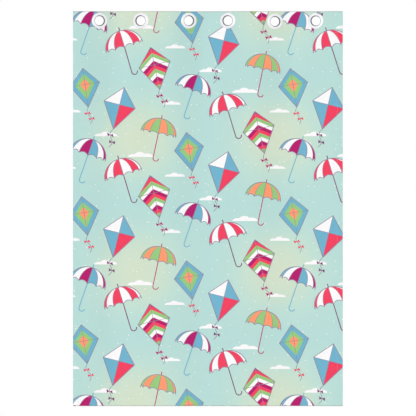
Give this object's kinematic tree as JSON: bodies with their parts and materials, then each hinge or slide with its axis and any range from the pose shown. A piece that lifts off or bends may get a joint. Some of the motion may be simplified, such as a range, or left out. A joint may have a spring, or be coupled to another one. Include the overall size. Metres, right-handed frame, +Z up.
{
  "type": "eyelet curtain panel",
  "caption": "Hung printed curtain panel in shallow uneven folds, with a stiff turned-over heading and two-part plastic eyelets along its top for a pole.",
  "frame": {"origin": "the middle of the top edge, on the plane that the folds swing about", "axes": "+Z up along the drop, +X to the right of someone facing the print, and the print faces -Y"},
  "size_m": [1.093, 0.0396, 1.6],
  "materials": {
    "printed_cloth": "matte printed woven polyester, pale aqua running into yellow-green",
    "eyelet_plastic": "glossy white"
  },
  "bodies": {
    "root": {"panel": "printed_cloth", "heading_left": "printed_cloth", "heading_middle": "printed_cloth", "heading_right": "printed_cloth", "eyelet_front_1": "eyelet_plastic", "eyelet_front_2": "eyelet_plastic", "eyelet_front_3": "eyelet_plastic", "eyelet_front_4": "eyelet_plastic", "eyelet_front_5": "eyelet_plastic", "eyelet_front_6": "eyelet_plastic", "eyelet_back_1": "eyelet_plastic", "eyelet_back_2": "eyelet_plastic", "eyelet_back_3": "eyelet_plastic", "eyelet_back_4": "eyelet_plastic", "eyelet_back_5": "eyelet_plastic", "eyelet_back_6": "eyelet_plastic"}
  },
  "joints": []
}
